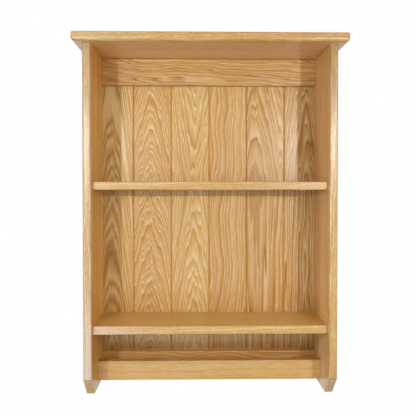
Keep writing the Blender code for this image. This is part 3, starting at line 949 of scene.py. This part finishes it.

# Painted light: the top's tint lightens it behind its sapwood front, so its shaded underside looks lit
hand_over(
    top_board(),
    oak("oak_top", X, Y, pith=(-0.12, 0.20, 0.40), ring=0.0030, dash=0.22, sapwood=1.0,
        front=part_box("top_board")[0].y, depth=0.014, seed=11, sap=(OAK_AMBER, OAK_RUSSET), reach=0.35,
        **STRAIGHT_GRAIN, start=(1.25, 1.27, 1.80), end=(1.25, 1.27, 1.80)),
    "oak_top", "top_board",
)
# Painted light: the sides' tints lighten them behind their sapwood fronts, so their inner faces look lit
SIDE_FIGURE_AND_PAINTED_LIGHT = {
    "left_side": dict(pith=(-0.65, 0.35, -0.62), sapwood=1.0, sap=(OAK_SAP, OAK_GOLD), seed=21, reach=0.4,
                      start=(1.38, 1.30, 1.3), end=(1.38, 1.32, 1.22)),
    # Painted light: the right side is lightened more at its foot than at its top
    "right_side": dict(pith=(0.65, 0.35, -0.40), sapwood=1.0, sap=(OAK_BROWN, OAK_TAN), seed=22,
                       start=(1.40, 1.45, 2.0), end=(1.15, 1.13, 1.5)),
}
for name, figure in SIDE_FIGURE_AND_PAINTED_LIGHT.items():
    hand_over(
        side(name),
        oak("oak_" + name, Z, Y, ring=0.0032, dash=0.22, streak=0.32, front=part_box(name)[0].y,
            **STRAIGHT_GRAIN, **figure),
        "oak_side", name,
    )
SHELF_FIGURE = {
    "middle_shelf": dict(pith=(-0.1, 0.20, 0.0), seed=31, start=(0.90, 0.86, 0.96), end=(0.90, 0.86, 0.96)),
    "lower_shelf": dict(pith=(-0.2, 0.20, -0.34), seed=32, sapwood=0.8, sap=(OAK_SAP, OAK_BROWN), reach=0.2,
                        start=(1.14, 1.12, 1.06), end=(1.14, 1.10, 1.04)),
}
for name, figure in SHELF_FIGURE.items():
    hand_over(
        shelf(name),
        oak("oak_" + name, X, Y, ring=0.0030, dash=0.16, front=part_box(name)[0].y,
            **STRAIGHT_GRAIN, **figure),
        "oak_shelf", name,
    )
RAIL_FIGURE_AND_PAINTED_SHADE = {
    # Upper rail: its left end is darker and redder, partly its own tone and partly painted shade of the
    # corner
    "upper_back_rail": dict(pith=(-0.20, -0.09, -0.060), ring=0.0046, taper=0.03, wave=0.030, jag=0.014,
                            sharp=1.6, contrast=1.1, cream=0.4, seed=41, reach=0.16, line=OAK_DARK,
                            start=(0.84, 0.72, 0.60), end=(0.94, 0.90, 0.95)),
    "lower_back_rail": dict(pith=(0.05, -0.06, -0.77), ring=0.0065, taper=0.03, wave=0.04, seed=42,
                            start=(1.08, 0.97, 1.1), end=(1.08, 0.97, 1.1)),
    "front_rail": dict(pith=(-0.24, -0.16, -0.44), ring=0.0030, taper=0.01, wave=0.02, contrast=0.6, seed=43,
                       start=(1.04, 0.98, 0.90), end=(1.04, 0.98, 1.0)),
}
for name, figure in RAIL_FIGURE_AND_PAINTED_SHADE.items():
    hand_over(rail(name), oak("oak_" + name, X, Z, **figure), "oak_rail", name)

plate_zinc = zinc("zinc_plate", ZINC_PLATE, ZINC_PLATE_DULL)
for name in ("hanger_plate_left", "hanger_plate_right"):
    hand_over(hanger_plate(name), plate_zinc, "hanger", name)

screw_zinc = zinc("zinc_screw", ZINC_SCREW, ZINC_SCREW_DULL)
tree = screw_tree(screw_zinc)
for name, start in (("board_screws", "board_screw_"), ("hanger_screws", "hanger_screw_")):
    nodes = [node for node in SCREWS if node.startswith(start)]
    hand_over(screws(name, nodes, tree), screw_zinc, "screw", *nodes)

dowel_beech = beech()
for name in DOWELS:
    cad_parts[name].data.materials.clear()
    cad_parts[name].data.materials.append(dowel_beech)


# Floor, light and camera

FLOOR_Z = -2.0
FLOOR_SIDE = 14.0
FLOOR_BOUNCE = 0.3
WORLD_FILL = 0.48
WORLD_TINT = (1.0, 0.94, 0.85, 1)

# Two small lamps in front, the sheen of their reflectors, a soft panel behind the camera, a bluish soft lamp
# low in front, and two lamps for the back
KEY_SIZE = 0.014
KEY_POWER = 3.7
KEY_LEFT = (-0.523, -1.076, -0.2205)
KEY_RIGHT = (0.504, -1.076, -0.2205)
KEY_AIM = (0.0, 0.0, -0.4)
SHEEN_WIDE = 0.03
SHEEN_TALL = 0.16
SHEEN_POWER = 3.3
SHEEN_RISE = 0.085
PANEL_WIDE = 5.0
PANEL_TALL = 1.6
PANEL_POWER = 35.0
PANEL_PLACE = (0.0, -4.2, -0.6)
LOW_WIDE = 1.6
LOW_TALL = 0.2
LOW_POWER = 4.0
LOW_TINT = (0.80, 1.0, 1.50)
LOW_PLACE = (-0.5, -1.31, -1.08)
BACK_SIZE = 1.6
BACK_POWER = 38.0
BACK_PLACES = ((-2.0, 2.4, 1.3), (2.0, 2.4, 1.3))

# The camera, fitted to the photograph's edges. Its frame's middle lies below the lens axis
PHOTO_SIDE_PX = 416
FOCAL_PX = 587.49
AXIS_ABOVE_MIDDLE_PX = 8
SENSOR_MM = 36.0
CAMERA_PLACE = (-0.0359, -1.5717, -0.3117)
CAMERA_YAW = 0.02142
CAMERA_PITCH = 0.01758


def seen_directly(n):
    """1 for what the eye, a reflection or glass sees of the backdrop, and 0 for the light that it gives."""
    path = n.add("ShaderNodeLightPath").outputs
    seen = n.math("ADD", path["Is Camera Ray"], path["Is Glossy Ray"])
    return n.math("ADD", seen, path["Is Transmission Ray"], clamp=True)


def studio_world():
    world = bpy.data.worlds.new("studio")
    bpy.context.scene.world = world
    world.use_nodes = True
    n = Nodes(world.node_tree)
    background = world.node_tree.nodes["Background"]
    world.node_tree.links.new(n.mix(seen_directly(n), WORLD_TINT, WHITE), background.inputs["Color"])
    strength = n.range(seen_directly(n), 0.0, 1.0, WORLD_FILL, 1.0)
    world.node_tree.links.new(strength, background.inputs["Strength"])


def studio_floor():
    """A white floor that keeps the soft shadow under the shelf."""
    half = FLOOR_SIDE / 2
    mesh = bpy.data.meshes.new("floor")
    corners = [(-half, -half, FLOOR_Z), (half, -half, FLOOR_Z), (half, half, FLOOR_Z), (-half, half, FLOOR_Z)]
    mesh.from_pydata(corners, [], [(0, 1, 2, 3)])
    floor = place_mesh("floor", mesh)
    material = bpy.data.materials.new("floor_white")
    material.use_nodes = True
    tree = material.node_tree
    tree.nodes.remove(tree.nodes["Principled BSDF"])
    n = Nodes(tree)
    shadowed = n.add("ShaderNodeBsdfDiffuse", {"Color": (FLOOR_BOUNCE, FLOOR_BOUNCE, FLOOR_BOUNCE, 1)})
    rest = [1.0 - FLOOR_BOUNCE * WORLD_FILL * part for part in WORLD_TINT[:3]]
    white = n.add("ShaderNodeEmission", {"Color": (*rest, 1), "Strength": seen_directly(n)})
    both = n.add("ShaderNodeAddShader", {0: shadowed.outputs[0], 1: white.outputs[0]})
    tree.links.new(both.outputs[0], tree.nodes["Material Output"].inputs["Surface"])
    mesh.materials.append(material)
    return floor


def soft_lamp(name, place, aim, wide, tall, power, spared, lights=True, shines=True, tint=(1, 1, 1)):
    """An oval lamp that faces a point of the shelf and leaves the floor alone, for light, sheen or both."""
    light = bpy.data.lights.new(name, "AREA")
    light.shape = "ELLIPSE"
    light.size = wide
    light.size_y = tall
    light.energy = power
    light.color = tint
    lamp = bpy.data.objects.new(name, light)
    bpy.context.scene.collection.objects.link(lamp)
    lamp.location = place
    lamp.rotation_euler = (Vector(aim) - Vector(place)).to_track_quat("-Z", "Y").to_euler()
    lamp.visible_camera = False
    lamp.visible_diffuse = lights
    lamp.visible_glossy = shines
    lamp.light_linking.receiver_collection = spared


floor = studio_floor()
studio_world()
spared = bpy.data.collections.new("not lit by the lamps")
spared.objects.link(floor)
spared.collection_objects[0].light_linking.link_state = "EXCLUDE"
middle = (0.0, 0.0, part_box("middle_shelf")[1].z)
for side_name, place in (("left", KEY_LEFT), ("right", KEY_RIGHT)):
    soft_lamp("key_" + side_name, place, KEY_AIM, KEY_SIZE, KEY_SIZE, KEY_POWER, spared, shines=False)
    raised = Vector(place) + SHEEN_RISE * Z
    level = (0.0, 0.0, raised.z)
    soft_lamp("sheen_" + side_name, raised, level, SHEEN_WIDE, SHEEN_TALL, SHEEN_POWER, spared, lights=False)
level = (0.0, 0.0, PANEL_PLACE[2])
soft_lamp("front_panel", PANEL_PLACE, level, PANEL_WIDE, PANEL_TALL, PANEL_POWER, spared, shines=False)
soft_lamp("low_panel", LOW_PLACE, KEY_AIM, LOW_WIDE, LOW_TALL, LOW_POWER, spared, shines=False, tint=LOW_TINT)
for number, place in enumerate(BACK_PLACES):
    soft_lamp(f"back_{number + 1}", place, middle, BACK_SIZE, BACK_SIZE, BACK_POWER, spared, shines=False)

lens = bpy.data.cameras.new("camera")
lens.sensor_width = SENSOR_MM
lens.lens = SENSOR_MM * FOCAL_PX / PHOTO_SIDE_PX
lens.shift_y = -AXIS_ABOVE_MIDDLE_PX / PHOTO_SIDE_PX
camera = bpy.data.objects.new("camera", lens)
bpy.context.scene.collection.objects.link(camera)
camera.location = CAMERA_PLACE
camera.rotation_euler = (math.pi / 2 - CAMERA_PITCH, 0.0, -CAMERA_YAW)
bpy.context.scene.camera = camera
bpy.context.scene.view_settings.view_transform = "Standard"
